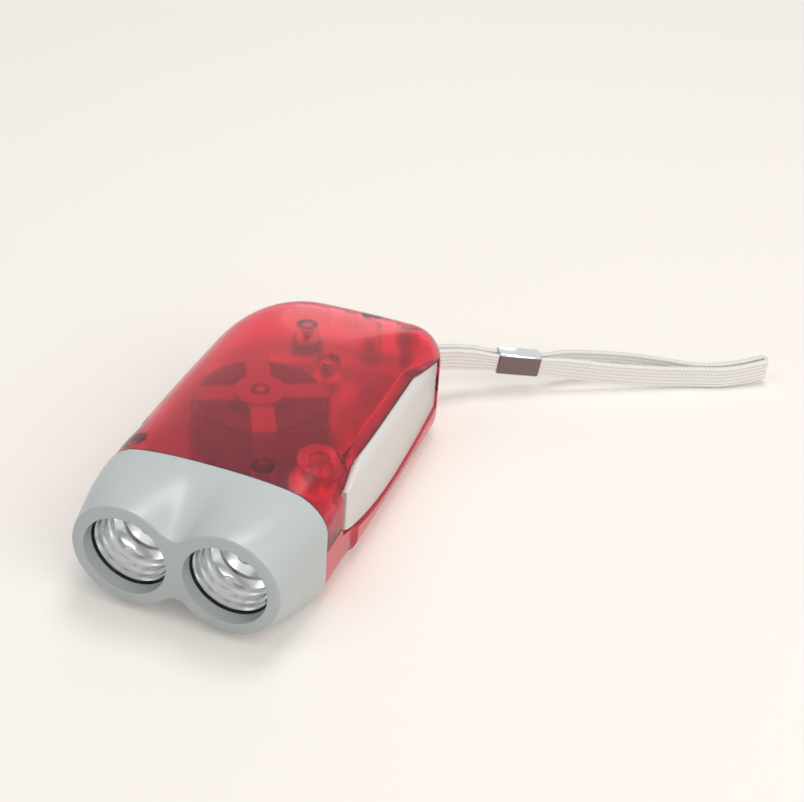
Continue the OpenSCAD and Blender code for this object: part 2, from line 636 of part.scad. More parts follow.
// Swept tube of an oval section, flat side held upright
module sweep(path, half_w, half_t, sides) {
    rings = [for (i = [0:len(path) - 1]) let (u = frame_u(path, i), s = unit(cross(u, [0, 0, 1])), v = cross(s, u))
        [for (k = [0:sides - 1]) let (a = 360 * (k + 0.5) / sides)
            path[i] + half_t * cos(a) * s + half_w * sin(a) * v]];
    n = sides;
    m = len(rings);
    faces = concat(
        [for (j = [0:m - 2]) for (i = [0:n - 1]) let (a = j * n + i, b = j * n + (i + 1) % n)
            each [[a, a + n, b + n], [a, b + n, b]]],
        [[for (i = [0:n - 1]) i], [for (i = [n - 1:-1:0]) (m - 1) * n + i]]);
    polyhedron([for (r = rings) each r], turned(faces), convexity = 8);
}
module lever_spring() color([0.6, 0.6, 0.62]) sweep(spring_path(), spring_wire / 2, spring_wire / 2, 6);

// Lock slider: thumb pad under the floor, neck through it, tongue for the lever's tab
module lever_lock() color([0.76, 0.79, 0.79]) {
    difference() {
        translate([lock_x - 4, lock_y - 3, 0.15]) cube([5.3, 9, 0.8]);
        for (k = [0:4]) translate([lock_x - 5, lock_y - 2 + 1.6 * k, 0]) cube([8, 0.6, 0.45]);
    }
    translate([lock_x - 0.8, lock_y, 0.9]) cube([1.6, 3, tab_z + tab_t - 1]);
    translate([lock_x - 2, lock_y, floor_z + 0.1]) cube([3.4, 3, 0.8]);
}

// Gear train
drive_to_rack = heading(drive, pivot);
module rack_pinion() color([0.85, 0.83, 0.75]) at(drive, pinion_z) {
    rotate(drive_to_rack + 180 / pinion_teeth) gear(pinion_teeth, rack_module, pinion_h, shaft_r + run_gap);
    translate([0, 0, drive_z + gear_t + 0.2 - pinion_z]) difference() {
        linear_extrude(pinion_z - drive_z - gear_t - 0.2 + eps) ratchet_outline();
        translate([0, 0, -1]) cylinder(r = shaft_r + run_gap, h = 9);
    }
}
ratchet_n = 8;
ratchet_r = 4;
module ratchet_outline() {
    polygon([for (i = [0:ratchet_n - 1]) let (a = 360 * i / ratchet_n)
        each [ratchet_r * [cos(a), sin(a)], (ratchet_r - 1) * [cos(a + 3), sin(a + 3)]]]);
}
pawl_at = 6.6;
module ratchet_pawl() color([0.8, 0.8, 0.78]) at(drive, drive_z + gear_t) rotate(20) {
    translate([pawl_at, 0, 0]) cylinder(r = 0.8, h = 2);
    translate([pawl_at - 0.5, 0, 0.2]) rotate(18) translate([-0.5, 0, 0]) cube([1, 5, 1.6]);
}
module drive_gear() color([0.85, 0.83, 0.75]) at(drive, drive_z) difference() {
    rotate(heading(drive, idler)) gear(drive_teeth, train_module, gear_t, shaft_r + run_gap);
    for (k = [0:4]) rotate(72 * k) translate([7, 0, -1]) cylinder(r = 1.6, h = gear_t + 2);
}
collar_r = shaft_r + 0.45;
module drive_shaft() color([0.7, 0.7, 0.72]) {
    at(drive, shaft_z) cylinder(r = shaft_r, h = shaft_h);
    at(drive, small_z + 0.2) cylinder(r = collar_r, h = drive_z - face_gap - small_z - 0.2);
}
module idler_gear() color([0.9, 0.88, 0.82]) at(idler) {
    translate([0, 0, wheel_z]) difference() {
        rotate(heading(idler, rotor)) gear(wheel_teeth, train_module, gear_t, shaft_r + run_gap);
        for (k = [0:5]) rotate(60 * k) translate([9, 0, -1]) cylinder(r = 2.2, h = gear_t + 2);
    }
    translate([0, 0, small_z - eps]) rotate(heading(idler, drive) + 180 / small_teeth)
        gear(small_teeth, train_module, 4.4, shaft_r + run_gap);
}
module idler_shaft() color([0.7, 0.7, 0.72]) at(idler, shaft_z) cylinder(r = shaft_r, h = shaft_h);

// Generator: shaft, pinion, flywheel and magnet turn inside bobbin, coil and claw plates
module rotor_shaft() color([0.7, 0.7, 0.72]) at(rotor, 1.2) cylinder(r = shaft_r, h = yoke_z + 1.6 - 1.2);
module rotor_pinion() color([0.8, 0.65, 0.3]) at(rotor, 3)
    rotate(heading(rotor, idler) + 180 / small_teeth) gear(small_teeth, train_module, 3.5, shaft_r);
module flywheel() color([0.45, 0.45, 0.47]) at(rotor, fly_z) rotate_extrude() polygon([[shaft_r, 0],
    [flywheel_r, 0], [flywheel_r, flywheel_t], [flywheel_r - 2.4, flywheel_t],
    [flywheel_r - 2.4, flywheel_t - 2.2], [3, flywheel_t - 2.2], [3, flywheel_t], [shaft_r, flywheel_t]]);
module ring_magnet() color([0.2, 0.2, 0.22]) at(rotor, coil_z + 0.6) tube(magnet_r, shaft_r, coil_h - 1.2);
bobbin_in = magnet_r + 0.8;
bobbin_wall = 0.8;
module coil_bobbin() color([0.9, 0.88, 0.8]) at(rotor, coil_z) {
    tube(bobbin_in + bobbin_wall, bobbin_in, coil_h);
    for (z = [0, coil_h - bobbin_wall]) translate([0, 0, z]) tube(coil_r + 0.2, bobbin_in, bobbin_wall);
}
module coil_winding() color([0.55, 0.25, 0.12]) at(rotor, coil_z + bobbin_wall)
    tube(coil_r - 0.6, bobbin_in + bobbin_wall, coil_h - 2 * bobbin_wall);
module lower_claw_plate() color([0.6, 0.6, 0.62]) at(rotor, plate_z) difference() {
    cylinder(r = coil_r + 2.2, h = plate_t);
    translate([0, 0, -1]) cylinder(r = 4, h = 4);
    for (a = [45:90:315]) rotate(a + yoke_turn) translate([coil_r - 1, -3, -1]) cube([6, 6, 4]);
}
arm_l = coil_r + yoke_reach;
module upper_yoke_plate() color([0.65, 0.6, 0.6]) at(rotor, yoke_z) rotate(yoke_turn) difference() {
    union() {
        for (a = [0:90:270]) rotate(a) {
            translate([0, -arm_w / 2, 0]) cube([arm_l, arm_w, plate_t]);
            translate([arm_l - plate_t, -arm_w / 2, -6]) cube([plate_t, arm_w, 6 + plate_t]);
        }
        cylinder(r = 5.5, h = plate_t + 0.6);
    }
    translate([0, 0, -1]) cylinder(r = 2.2, h = 4);
}
module bush(z, h) {
    at(rotor, z) tube(2.2, shaft_r + run_gap, h);
}
module lower_bush() color([0.75, 0.6, 0.3]) bush(1, 1.8);
module upper_bush() color([0.75, 0.6, 0.3]) bush(yoke_z, plate_t + 0.3);

// Fasteners, strap post, strap and crimp
module shell_screws() color([0.7, 0.7, 0.72]) for (p = screws) at(p) {
    translate([0, 0, screw_head_z]) difference() {
        cylinder(r = 1.8, h = 1);
        translate([-1.2, -0.25, -1]) cube([2.4, 0.5, 1.5]);
        translate([-0.25, -1.2, -1]) cube([0.5, 2.4, 1.5]);
    }
    translate([0, 0, screw_head_z + 1 - eps]) cylinder(r = screw_r - 0.1, h = parting_z + 4);
}
module strap_post() color([0.7, 0.7, 0.72]) at(post, shaft_z) cylinder(r = post_r, h = shaft_h);
function side_of(path, i) = unit(cross(frame_u(path, i), [0, 0, 1]));
// Strands part to pass round the post, lie side by side past the wall and stand off behind the crimp
function bulge(i) = i > crimp_to && i < crimp_to + 5 ? strand_bulge * sin(36 * (i - crimp_to)) : 0;
function spread(i) = i == 0 ? lerp(strand_pitch / 2, loop_r, 0.6) : strand_pitch / 2 + bulge(i);
function strand(path, side) = [for (i = [0:len(path) - 1]) path[i] + side * spread(i) * side_of(path, i)];
function round_post(turns) = [for (a = turns) [post.x + loop_r * cos(a), post.y + loop_r * sin(a), strap_out[0].z]];
function strap_path() =
    let (n = len(strap_out), out = strand(strap_out, 1), home = strand(strap_out, -1), tip = strap_out[n - 1],
         u = frame_u(strap_out, n - 1), s = side_of(strap_out, n - 1))
    concat(round_post([-75, -50, -25, 0]), out,
        [for (a = [45, 90, 135]) tip + strand_pitch / 2 * (cos(a) * s + 1.4 * sin(a) * u)],
        [for (i = [n - 1:-1:0]) home[i]], round_post([180, 205, 230, 255]));
module wrist_strap() color([0.86, 0.86, 0.85]) sweep(strap_path(), strap_w / 2, strap_t / 2, 8);
crimp_gap = 0.2;
crimp_wall = 0.6;
module strap_crimp() color([0.8, 0.81, 0.82]) {
    a = strap_out[crimp_from];
    b = strap_out[crimp_to];
    run = b - a;
    long = norm(run) - 1;
    inner = [long, strand_pitch + strap_t + 2 * crimp_gap, strap_w + 2 * crimp_gap];
    translate((a + b) / 2) rotate([0, -asin(run.z / norm(run)), atan2(run.y, run.x)]) difference() {
        cube(inner + [0, 2 * crimp_wall, 2 * crimp_wall], center = true);
        cube(inner + [2, 0, 0], center = true);
    }
}
// Least distance between wire points that are not neighbours along the wire
function wire_gap(path, skip, thick) =
    min([for (i = [0:len(path) - 1]) for (j = [i + skip:len(path) - 1]) norm(path[i] - path[j])]) - thick;
echo(spring_gap = wire_gap(spring_path(), 5, spring_wire), strand_gap = strand_pitch - strap_t);

upper_shell();
lower_shell();
head_bezel();
lens_left();
lens_right();
reflector();
led_left();
led_right();
led_board();
storage_cell();
cell_clip();
lever();
lever_rack();
lever_pin();
lever_spring();
lever_lock();
rack_pinion();
ratchet_pawl();
drive_gear();
drive_shaft();
idler_gear();
idler_shaft();
rotor_shaft();
rotor_pinion();
flywheel();
ring_magnet();
coil_bobbin();
coil_winding();
lower_claw_plate();
upper_yoke_plate();
lower_bush();
upper_bush();
shell_screws();
strap_post();
wrist_strap();
strap_crimp();
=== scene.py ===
import math

import bmesh
import bpy
from mathutils import Matrix, Vector


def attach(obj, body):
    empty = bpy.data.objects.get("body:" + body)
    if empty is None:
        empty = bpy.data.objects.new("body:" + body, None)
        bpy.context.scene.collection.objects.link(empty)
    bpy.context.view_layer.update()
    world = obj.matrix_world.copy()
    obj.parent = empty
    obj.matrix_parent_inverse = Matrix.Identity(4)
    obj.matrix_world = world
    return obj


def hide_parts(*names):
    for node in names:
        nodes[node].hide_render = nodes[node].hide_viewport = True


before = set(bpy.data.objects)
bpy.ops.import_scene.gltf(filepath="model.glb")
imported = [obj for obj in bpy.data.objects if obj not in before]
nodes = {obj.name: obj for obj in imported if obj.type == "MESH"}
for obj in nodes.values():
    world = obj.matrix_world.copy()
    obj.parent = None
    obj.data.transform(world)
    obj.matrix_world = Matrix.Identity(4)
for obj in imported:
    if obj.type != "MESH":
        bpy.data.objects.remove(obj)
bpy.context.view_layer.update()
scene = bpy.context.scene
scene.view_settings.view_transform = "Standard"
mm = 0.001
print("frame loaded:", len(nodes), "nodes")


def linkPiece(name, mesh, material=None):
    piece = bpy.data.objects.new(name, mesh)
    scene.collection.objects.link(piece)
    if material:
        mesh.materials.append(material)
    return piece


# Camera at the photograph's angle, for a picture 804 pixels wide
cameraSet = {"azimuth": 18.2, "elevation": 34.1, "roll": 4.0, "distance": 379.35,
             "target": (13.0, 47.4, 0.0), "focalPixels": 1583.0, "pictureWidth": 804, "sensor": 36.0,
             "clip": (0.01, 20.0)}


def makeCamera(want):
    azimuth, elevation, roll = (math.radians(want[k]) for k in ("azimuth", "elevation", "roll"))
    back = Vector((math.sin(azimuth) * math.cos(elevation), -math.cos(azimuth) * math.cos(elevation),
                   math.sin(elevation)))
    right = Vector((math.cos(azimuth), math.sin(azimuth), 0))
    up = back.cross(right)
    tiltedRight = right * math.cos(roll) + up * math.sin(roll)
    tiltedUp = up * math.cos(roll) - right * math.sin(roll)
    place = (Vector(want["target"]) + back * want["distance"]) * mm
    data = bpy.data.cameras.new("photoCamera")
    data.sensor_fit = "HORIZONTAL"
    data.sensor_width = want["sensor"]
    data.lens = want["focalPixels"] / want["pictureWidth"] * want["sensor"]
    data.clip_start, data.clip_end = want["clip"]
    camera = bpy.data.objects.new("photoCamera", data)
    turn = Matrix((tiltedRight, tiltedUp, back)).transposed().to_4x4()
    camera.matrix_world = Matrix.Translation(place) @ turn
    scene.collection.objects.link(camera)
    scene.camera = camera


makeCamera(cameraSet)
print("camera set")


# Node helpers for the materials
def newMaterial(name):
    material = bpy.data.materials.new(name)
    material.use_nodes = True
    tree = material.node_tree
    return material, tree, tree.nodes["Principled BSDF"]


def addNode(tree, kind, **values):
    node = tree.nodes.new(kind)
    for key, value in values.items():
        if key in node.inputs:
            node.inputs[key].default_value = value
        else:
            setattr(node, key, value)
    return node


def noiseFrom(tree, coords, scale, detail=4.0):
    noise = addNode(tree, "ShaderNodeTexNoise", Scale=scale, Detail=detail, Roughness=0.55)
    tree.links.new(coords, noise.inputs["Vector"])
    return noise.outputs["Fac"]


def spread(tree, source, low, high, fromLow=0.3, fromHigh=0.7):
    ranger = addNode(tree, "ShaderNodeMapRange")
    ranger.inputs["From Min"].default_value = fromLow
    ranger.inputs["From Max"].default_value = fromHigh
    ranger.inputs["To Min"].default_value = low
    ranger.inputs["To Max"].default_value = high
    tree.links.new(source, ranger.inputs["Value"])
    return ranger.outputs["Result"]


def blendColours(tree, factor, first, second):
    mix = addNode(tree, "ShaderNodeMix")
    mix.data_type = "RGBA"  # its colour sockets are 6 and 7, its colour output is 2
    mix.inputs[6].default_value = (*first, 1)
    mix.inputs[7].default_value = (*second, 1)
    tree.links.new(factor, mix.inputs[0])
    return mix.outputs[2]


def addBump(tree, shader, height, strength, distance):
    bump = addNode(tree, "ShaderNodeBump", Strength=strength, Distance=distance)
    tree.links.new(height, bump.inputs["Height"])
    tree.links.new(bump.outputs["Normal"], shader.inputs["Normal"])


def objectCoords(tree):
    return addNode(tree, "ShaderNodeTexCoord").outputs["Object"]


def paintDrift(tree, shader, noise, colour, shade):
    paint = blendColours(tree, spread(tree, noise, 0, 1), colour, [c * shade for c in colour])
    tree.links.new(paint, shader.inputs["Base Color"])


# One plain recipe for moulded, turned and plated finishes: colour drift, roughness drift and a fine grain
plainFinish = {"shade": 0.94, "driftScale": 60.0, "grainScale": 1500.0, "grainZone": (0.1, 0.9),
               "bump": 0.08, "grainDepth": 0.00004, "sockets": {}}


def finishMaterial(name, own):
    want = {**plainFinish, **own}
    material, tree, shader = newMaterial(name)
    coords = objectCoords(tree)
    paintDrift(tree, shader, noiseFrom(tree, coords, want["driftScale"]), want["colour"], want["shade"])
    grain = noiseFrom(tree, coords, want["grainScale"], 2.0)
    tree.links.new(spread(tree, grain, *want["roughness"], *want["grainZone"]), shader.inputs["Roughness"])
    if want["bump"]:
        addBump(tree, shader, grain, want["bump"], want["grainDepth"])
    for socket, value in want["sockets"].items():
        shader.inputs[socket].default_value = value
    return material


finishes = {
    "greyPlastic": {"colour": (0.505, 0.555, 0.57), "shade": 0.975, "roughness": (0.28, 0.34), "bump": 0},
    "leverPlastic": {"colour": (0.72, 0.72, 0.705), "shade": 0.975, "roughness": (0.33, 0.4), "bump": 0},
    # board and cell sleeve: their own dark colours, darkened further as painted shade inside the front of the
    # body
    "boardGreenPaintedShade": {"colour": (0.02, 0.06, 0.035), "roughness": (0.3, 0.5)},
    "cellSleevePaintedShade": {"colour": (0.02, 0.025, 0.05), "roughness": (0.25, 0.4)},
    "drawnSteel": {"colour": (0.60, 0.60, 0.62), "shade": 0.9, "roughness": (0.2, 0.36),
                   "sockets": {"Metallic": 1.0}},
    "nickelPlate": {"colour": (0.80, 0.80, 0.80), "shade": 0.97, "roughness": (0.06, 0.14), "bump": 0.05,
                    "sockets": {"Metallic": 1.0}},
    "gearNylon": {"colour": (0.86, 0.84, 0.79), "roughness": (0.4, 0.55)},
    "darkNylon": {"colour": (0.045, 0.04, 0.04), "roughness": (0.4, 0.55)},
    "clawSteel": {"colour": (0.07, 0.065, 0.065), "shade": 0.8, "roughness": (0.35, 0.5),
                  "sockets": {"Metallic": 0.5}},
    "yokeSteel": {"colour": (0.42, 0.40, 0.40), "shade": 0.85, "roughness": (0.3, 0.45),
                  "sockets": {"Metallic": 0.7}},
    "flywheelIron": {"colour": (0.10, 0.10, 0.105), "shade": 0.8, "roughness": (0.4, 0.6),
                     "sockets": {"Metallic": 0.6}},
    "magnetFerrite": {"colour": (0.035, 0.035, 0.04), "roughness": (0.5, 0.7)},
    "bobbinNylon": {"colour": (0.05, 0.045, 0.045), "roughness": (0.4, 0.55)},
    "copperWire": {"colour": (0.16, 0.05, 0.025), "shade": 0.8, "roughness": (0.3, 0.45),
                   "sockets": {"Metallic": 0.5}},
    "turnedBrass": {"colour": (0.62, 0.45, 0.18), "shade": 0.9, "roughness": (0.22, 0.36),
                    "sockets": {"Metallic": 1.0}},
    # painted shadow: near-black colour for the tubes drawn along the seams
    "seamShadowPaint": {"colour": (0.012, 0.012, 0.014), "roughness": (0.5, 0.7)},
    "phosphor": {"colour": (0.42, 0.39, 0.32), "roughness": (0.5, 0.7)},
}
made = {name: finishMaterial(name, want) for name, want in finishes.items()}


# Translucent red moulding: tinted, frosted inside, glossy outside. The lower shell is the same red plastic
# painted paler pink, as painted light for the light through its thin wall
shellSet = {"roughness": (0.16, 0.22), "sockets": {"IOR": 1.4, "Specular IOR Level": 0.12},
            "colour": {"redShell": (0.995, 0.085, 0.165), "redShellLowPaintedLight": (0.96, 0.20, 0.25)},
            "clearness": {"redShell": 0.94, "redShellLowPaintedLight": 0.5},
            "shade": 0.94, "driftScale": 45.0, "grainScale": 1300.0, "bump": 0.03, "grainDepth": 0.00003}


def makeShell(name, want):
    material, tree, shader = newMaterial(name)
    coords = objectCoords(tree)
    paintDrift(tree, shader, noiseFrom(tree, coords, want["driftScale"]), want["colour"][name], want["shade"])
    grain = noiseFrom(tree, coords, want["grainScale"], 2.0)
    tree.links.new(spread(tree, grain, *want["roughness"]), shader.inputs["Roughness"])
    addBump(tree, shader, grain, want["bump"], want["grainDepth"])
    for socket, value in want["sockets"].items():
        shader.inputs[socket].default_value = value
    shader.inputs["Transmission Weight"].default_value = want["clearness"][name]
    return material


# Clear mouldings: lamp covers and lamp bodies
clearSets = {
    "clearLens": {"colour": (0.95, 0.98, 0.99), "shade": 0.97, "grainScale": 300.0,
                  "sockets": {"Roughness": 0.03, "IOR": 1.45, "Transmission Weight": 1.0}},
    "ledEpoxy": {"colour": (0.97, 0.97, 0.95), "shade": 0.97, "grainScale": 500.0,
                 "sockets": {"Roughness": 0.04, "IOR": 1.4, "Transmission Weight": 0.96}},
}


def makeClear(name, want):
    material, tree, shader = newMaterial(name)
    grain = noiseFrom(tree, objectCoords(tree), want["grainScale"], 2.0)
    paintDrift(tree, shader, grain, want["colour"], want["shade"])
    for socket, value in want["sockets"].items():
        shader.inputs[socket].default_value = value
    return material


# Plated reflector cups with fine turned ridges round each lamp
reflectorSet = {"colour": (0.90, 0.905, 0.91), "shade": 0.95, "roughness": (0.16, 0.22), "grainScale": 400.0,
                "lampX": 0.01065, "lampZ": 0.0138, "ridge": 0.0015, "ridgeZone": (0.0048, 0.0066),
                "innerShare": 0.15, "bump": 0.13, "ridgeDepth": 0.0001}


def makeReflector(want):
    material, tree, shader = newMaterial("reflectorSilver")
    coords = objectCoords(tree)
    parts = addNode(tree, "ShaderNodeSeparateXYZ")
    tree.links.new(coords, parts.inputs["Vector"])

    def step(operation, first, second=None):
        node = addNode(tree, "ShaderNodeMath", operation=operation)
        tree.links.new(first, node.inputs[0])
        if second is not None and not isinstance(second, float):
            tree.links.new(second, node.inputs[1])
        elif second is not None:
            node.inputs[1].default_value = second
        return node.outputs["Value"]

    sideways = step("SUBTRACT", step("ABSOLUTE", parts.outputs["X"]), want["lampX"])
    upward = step("SUBTRACT", parts.outputs["Z"], want["lampZ"])
    away = step("SQRT", step("ADD", step("POWER", sideways, 2.0), step("POWER", upward, 2.0)))
    outerZone = spread(tree, away, want["innerShare"], 1, *want["ridgeZone"])
    ridges = step("MULTIPLY", step("SINE", step("MULTIPLY", away, 2 * math.pi / want["ridge"])), outerZone)
    addBump(tree, shader, ridges, want["bump"], want["ridgeDepth"])
    grain = noiseFrom(tree, coords, want["grainScale"], 2.0)
    paintDrift(tree, shader, grain, want["colour"], want["shade"])
    tree.links.new(spread(tree, grain, *want["roughness"]), shader.inputs["Roughness"])
    shader.inputs["Metallic"].default_value = 1.0
    return material


made["reflectorSilver"] = makeReflector(reflectorSet)
for shellName in shellSet["clearness"]:
    made[shellName] = makeShell(shellName, shellSet)
for clearName, clearSet in clearSets.items():
    made[clearName] = makeClear(clearName, clearSet)
print("materials made:", len(made))

finishOf = {
    "redShell": ["upper_shell"],
    "redShellLowPaintedLight": ["lower_shell"],
    "greyPlastic": ["head_bezel"],
    "leverPlastic": ["lever", "lever_lock"],
    "clearLens": ["lens_left", "lens_right"],
    "reflectorSilver": ["reflector"],
    "ledEpoxy": ["led_left", "led_right"],
    "boardGreenPaintedShade": ["led_board"],
    "cellSleevePaintedShade": ["storage_cell"],
    "drawnSteel": ["cell_clip", "lever_pin", "lever_spring", "drive_shaft", "idler_shaft", "rotor_shaft",
                   "shell_screws", "strap_post"],
    "nickelPlate": ["strap_crimp"],
    "gearNylon": ["lever_rack", "drive_gear", "idler_gear"],
    "darkNylon": ["rack_pinion", "ratchet_pawl", "upper_bush"],
    "yokeSteel": ["upper_yoke_plate"],
    "clawSteel": ["lower_claw_plate"],
    "flywheelIron": ["flywheel"],
    "magnetFerrite": ["ring_magnet"],
    "bobbinNylon": ["coil_bobbin"],
    "copperWire": ["coil_winding"],
    "turnedBrass": ["rotor_pinion", "lower_bush"],
}
for finish, members in finishOf.items():
    for member in members:
        mesh = nodes[member].data
        mesh.materials.clear()
        mesh.materials.append(made[finish])
print("finishes given to the solids")


# Soft shading across shallow edges, sharp along the moulded ones
shadeSet = {"limit": 32.0, "weld": 0.000002, "edges": {"lever": 0.35, "lever_lock": 0.15}, "edgeSteps": 3,
            "edgeAngle": 40.0,
            "members": ["upper_shell", "lower_shell", "head_bezel", "lever", "lever_lock", "reflector",
                        "lens_left", "lens_right", "led_left", "led_right", "upper_yoke_plate",
                        "storage_cell"]}


def makeShadeTree():
    tree = bpy.data.node_groups.new("softShading", "GeometryNodeTree")
    tree.interface.new_socket("Geometry", in_out="INPUT", socket_type="NodeSocketGeometry")
    limit = tree.interface.new_socket("Edge Limit", in_out="INPUT", socket_type="NodeSocketFloat")
    tree.interface.new_socket("Geometry", in_out="OUTPUT", socket_type="NodeSocketGeometry")
    start, end = tree.nodes.new("NodeGroupInput"), tree.nodes.new("NodeGroupOutput")
    faces = tree.nodes.new("GeometryNodeSetShadeSmooth")
    faces.domain = "FACE"
    faces.inputs["Shade Smooth"].default_value = True
    edges = tree.nodes.new("GeometryNodeSetShadeSmooth")
    edges.domain = "EDGE"
    angle = tree.nodes.new("GeometryNodeInputMeshEdgeAngle")
    shallow = tree.nodes.new("FunctionNodeCompare")
    shallow.data_type = "FLOAT"
    shallow.operation = "LESS_THAN"
    tree.links.new(start.outputs["Geometry"], faces.inputs["Geometry"])
    tree.links.new(faces.outputs["Geometry"], edges.inputs["Geometry"])
    tree.links.new(angle.outputs["Unsigned Angle"], shallow.inputs["A"])
    tree.links.new(start.outputs["Edge Limit"], shallow.inputs["B"])
    tree.links.new(shallow.outputs["Result"], edges.inputs["Shade Smooth"])
    tree.links.new(edges.outputs["Geometry"], end.inputs["Geometry"])
    return tree, limit.identifier


def softShade(want):
    tree, limitKey = makeShadeTree()
    for member in want["members"]:
        weld = nodes[member].modifiers.new("weldCorners", "WELD")
        weld.merge_threshold = want["weld"]
        if member in want["edges"]:
            edge = nodes[member].modifiers.new("softEdges", "BEVEL")
            edge.width = want["edges"][member] * mm
            edge.segments = want["edgeSteps"]
            edge.limit_method = "ANGLE"
            edge.angle_limit = math.radians(want["edgeAngle"])
        shade = nodes[member].modifiers.new("softShading", "NODES")
        shade.node_group = tree
        shade[limitKey] = math.radians(want["limit"])


softShade(shadeSet)
print("soft shading on", len(shadeSet["members"]), "solids")


# Wrist strap: one flat braid out and back, round the post inside and folded at its far end
strapSet = {
    "width": 5.6, "thick": 1.3, "pitch": 2.05, "step": 0.3,
    "lanes": 6, "perLane": 6, "stitch": 0.95, "slant": 0.55, "stitchShare": 0.58, "reliefShare": 0.24,
    "ridgePower": 0.8, "edgePower": 7, "grooveTone": (1.15, 1.5),
    "crimpAt": 6, "crimpEnd": 7, "pinch": 0.8, "pinchReach": 7.0,
    "bulge": 1.7, "bulgeSpan": 5, "foldReach": 1.4,
    "post": (15.5, 40.4), "loop": 2.6, "slotSpread": 1.97,
    "postStart": (-75, -50, -25, 0), "postFinish": (180, 205, 230, 255),
    "route": [(15.5, 44.5, 12), (16.5, 48, 11.9), (18.5, 51.5, 11.4), (21.5, 55, 10.6), (26, 58.6, 9.5),
              (31, 61.5, 8.6), (36, 64.3, 7.8), (41, 67, 7.1), (47.6, 71.7, 5.9), (54.4, 75.8, 4.8),
              (61.2, 79.3, 4), (68.2, 82.2, 3.4), (75.4, 84.8, 3.1), (81.5, 87.5, 3.1), (86.4, 90.7, 3.4),
              (90.4, 93.7, 4)],
    # the second colour is painted shade for the braid's grooves
    "colour": (0.98, 0.975, 0.965), "groove": (0.66, 0.65, 0.635),
    "fibreScale": 900.0, "fibreBump": 0.25, "fibreDepth": 0.00006, "roughness": (0.3, 0.48), "sheen": 0.3,
}


def strapPoints(want):
    route = [Vector(p) for p in want["route"]]
    count = len(route)

    def heading(i):
        return (route[min(i + 1, count - 1)] - route[max(i - 1, 0)]).normalized()

    def sideways(i):
        return heading(i).cross(Vector((0, 0, 1))).normalized()

    def apart(i):
        past = i - want["crimpEnd"]
        bulge = 0
        if 0 < past < want["bulgeSpan"]:
            bulge = want["bulge"] * math.sin(math.radians(180 / want["bulgeSpan"] * past))
        return want["slotSpread"] if i == 0 else want["pitch"] / 2 + bulge

    def roundPost(turns):
        x, y = want["post"]
        return [Vector((x + want["loop"] * math.cos(math.radians(a)),
                        y + want["loop"] * math.sin(math.radians(a)), route[0].z)) for a in turns]

    outward = [route[i] + sideways(i) * apart(i) for i in range(count)]
    homeward = [route[i] - sideways(i) * apart(i) for i in range(count)]
    tip, along, across = route[-1], heading(count - 1), sideways(count - 1)
    fold = [tip + (across * math.cos(math.radians(a)) + along * want["foldReach"] * math.sin(math.radians(a)))
            * want["pitch"] / 2 for a in (45, 90, 135)]
    first, last = roundPost(want["postStart"]), roundPost(want["postFinish"])
    return first + outward + fold + homeward[::-1] + last


def smoothLine(points, step):
    line = []
    for i in range(len(points) - 1):
        p0, p1 = points[max(i - 1, 0)], points[i]
        p2, p3 = points[i + 1], points[min(i + 2, len(points) - 1)]
        parts = max(2, round((p2 - p1).length / step))
        for k in range(parts):
            t = k / parts
            line.append(0.5 * (2 * p1 + (p2 - p0) * t + (2 * p0 - 5 * p1 + 4 * p2 - p3) * t * t
                               + (3 * p1 - p0 - 3 * p2 + p3) * t ** 3))
    return line + [points[-1]]


def makeStrapMaterial(want):
    material, tree, shader = newMaterial("strapBraid")
    # painted shade: the base colour darkens toward the groove colour where the braid's relief is low
    groove = addNode(tree, "ShaderNodeAttribute", attribute_name="groove").outputs["Fac"]
    tree.links.new(blendColours(tree, groove, want["colour"], want["groove"]), shader.inputs["Base Color"])
    coords = addNode(tree, "ShaderNodeTexCoord").outputs["UV"]
    fibre = noiseFrom(tree, coords, want["fibreScale"], 3.0)
    addBump(tree, shader, fibre, want["fibreBump"], want["fibreDepth"])
    tree.links.new(spread(tree, fibre, *want["roughness"]), shader.inputs["Roughness"])
    shader.inputs["Sheen Weight"].default_value = want["sheen"]
    return material


def crimpFrame(want):
    route = [Vector(p) for p in want["route"]]
    k = want["crimpAt"]
    ahead = (route[k + 1] - route[k - 1]).normalized()
    across = ahead.cross(Vector((0, 0, 1))).normalized()
    return route[k], ahead, across, across.cross(ahead)


# Crimp on the strap: nickel top and bottom, broad sides painted dark as painted shade
crimpSet = {"size": (10.4, 5.7, 4.3), "wall": 0.45, "corner": 0.7, "leastBend": 0.1, "lip": (0.12, 0.3),
            # side colour: painted shade for the broad sides; top colour: the nickel itself
            "side": (0.20, 0.15, 0.155), "top": (0.62, 0.66, 0.67), "sideShadeZone": (0.25, 0.6),
            "scratchScale": 1800.0, "roughness": (0.1, 0.2)}


def makeCrimpMaterial(want):
    material, tree, shader = newMaterial("crimpNickelShadedSides")
    unshadedShare = addNode(tree, "ShaderNodeAttribute", attribute_name="unshadedShare").outputs["Fac"]
    # painted shade: the broad sides take the dark side colour, the top and bottom faces the nickel top colour
    paint = blendColours(tree, spread(tree, unshadedShare, 0, 1, *want["sideShadeZone"]), want["side"], want["top"])
    tree.links.new(paint, shader.inputs["Base Color"])
    scratches = noiseFrom(tree, objectCoords(tree), want["scratchScale"], 2.0)
    tree.links.new(spread(tree, scratches, *want["roughness"]), shader.inputs["Roughness"])
    shader.inputs["Metallic"].default_value = 1.0
    return material


